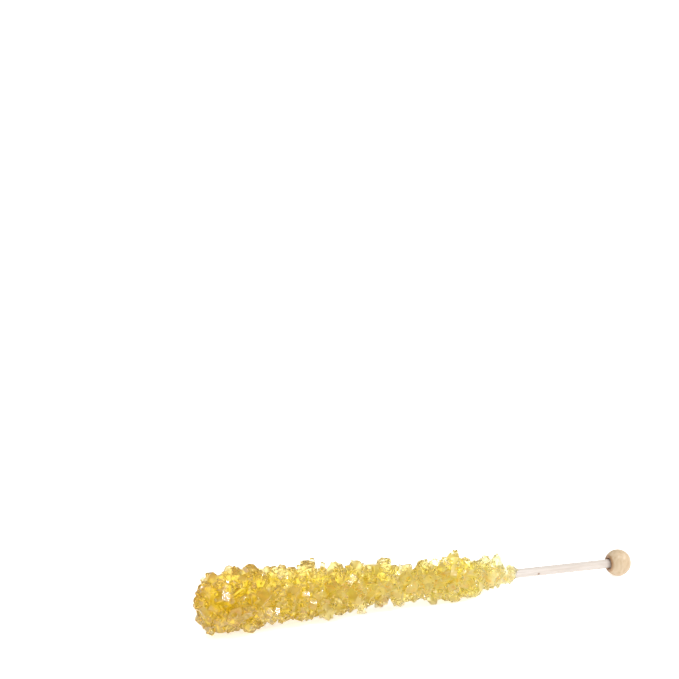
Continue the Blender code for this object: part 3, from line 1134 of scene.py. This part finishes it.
def birch_material():
    """Bare pale dowel wood with fibres along the stick and one small dark fleck."""
    material, tree, shader = new_material("pale_birch")
    place = add_node(tree, "ShaderNodeTexCoord").outputs["Object"]
    fibres = add_noise(tree, place, BIRCH_GRAIN, detail=4.0, turn=(0.0, -TILT, 0.0))
    wood = add_ramp(tree, fibres, BIRCH_COLOURS)
    to_fleck = add_node(tree, "ShaderNodeVectorMath", {0: place}, {1: FLECK}, operation="DISTANCE")
    nearness = add_range(tree, to_fleck.outputs["Value"], 0.0, FLECK_SIZE, 0.0, 1.0)
    fleck = add_ramp(tree, nearness, FLECK_COLOURS)
    marked = add_node(tree, "ShaderNodeVectorMath", {0: wood, 1: fleck}, operation="MULTIPLY")
    tree.links.new(marked.outputs["Vector"], shader.inputs["Base Color"])
    tree.links.new(add_bump(tree, fibres, 0.4, FIBRE_HEIGHT), shader.inputs["Normal"])
    shader.inputs["Roughness"].default_value = 0.6
    return material


def beech_material():
    """Tan wood, turned and sanded smooth, with faint grain; drill scorch and painted shade darken its
    hole.
    """
    material, tree, shader = new_material("tan_beech")
    place = add_node(tree, "ShaderNodeTexCoord").outputs["Object"]
    fibres = add_noise(tree, place, BEECH_GRAIN, detail=4.0)
    wood = add_ramp(tree, fibres, BEECH_COLOURS)
    # Darker near the hole's mouth: drill scorch and painted shade
    to_bore = add_node(tree, "ShaderNodeVectorMath", {0: place}, {1: BORE_END}, operation="DISTANCE")
    nearness = add_range(tree, to_bore.outputs["Value"], RIM_FROM, RIM_TO, 0.0, 1.0)
    rim_scorch_and_shade = add_ramp(tree, nearness, RIM_SCORCH_AND_SHADE_COLOURS)
    marked = add_node(tree, "ShaderNodeVectorMath", {0: wood, 1: rim_scorch_and_shade}, operation="MULTIPLY")
    tree.links.new(marked.outputs["Vector"], shader.inputs["Base Color"])
    tree.links.new(add_bump(tree, fibres, 0.2, FIBRE_HEIGHT), shader.inputs["Normal"])
    shader.inputs["Roughness"].default_value = 0.32
    return material


pale_birch = birch_material()
show_material(pale_birch)
tan_beech = beech_material()
show_material(tan_beech)

# %% [markdown]
# ## The stick
#
# The stick is a plain dowel with slightly rounded ends. It could be a cylinder with a bevel; a
# profile spun round the axis gives the same with the helper that is already here, ends and all.
# It starts inside the candy, near the free end, and stops in the ball's hole.

# %% The stick
CHAMFER = 0.2 * MM
END_RADIUS = STICK_RADIUS * 0.9
DOWEL_STEPS = 48

dowel = spin_profile([
    (STICK_START, 0.0), (STICK_START, END_RADIUS), (STICK_START + CHAMFER, STICK_RADIUS),
    (STICK_END - CHAMFER, STICK_RADIUS), (STICK_END, END_RADIUS), (STICK_END, 0.0)], DOWEL_STEPS)
bmesh.ops.transform(dowel, matrix=on_table, verts=dowel.verts)
for face in dowel.faces:
    face.smooth = True
finish_piece("wooden_stick", dowel, pale_birch, "stick")

# %% [markdown]
# ## The ball
#
# The ball is drilled for the stick, and the mouth of the hole is a little wider than the hole.
# Its outline is an arc, turned round the stick, and its lowest point is cut flat where it rests.

# %% Turning the ball
MOUTH_RADIUS = 2.45 * MM
MOUTH_DEPTH = 0.6 * MM
HOLE_RADIUS = STICK_RADIUS + 0.06 * MM
ARC_STEPS = 32
BALL_STEPS = 64

mouth_angle = math.asin(MOUTH_RADIUS / BALL_RADIUS)
mouth_station = BALL_STATION - BALL_RADIUS * math.cos(mouth_angle)
ball_points = [
    (HOLE_BOTTOM, 0.0), (HOLE_BOTTOM, HOLE_RADIUS), (mouth_station + MOUTH_DEPTH, HOLE_RADIUS)]
for number in range(ARC_STEPS + 1):
    angle = mouth_angle + (math.pi - mouth_angle) * number / ARC_STEPS
    radius = BALL_RADIUS * math.sin(angle) if number < ARC_STEPS else 0.0
    ball_points.append((BALL_STATION - BALL_RADIUS * math.cos(angle), radius))
ball = spin_profile(ball_points, BALL_STEPS)
bmesh.ops.transform(ball, matrix=on_table, verts=ball.verts)
slice_off(ball, Vector((0.0, 0.0, 0.0)), Vector((0.0, 0.0, -1.0)))
for face in ball.faces:
    face.smooth = True
finish_piece("wooden_ball", ball, tan_beech, "ball")
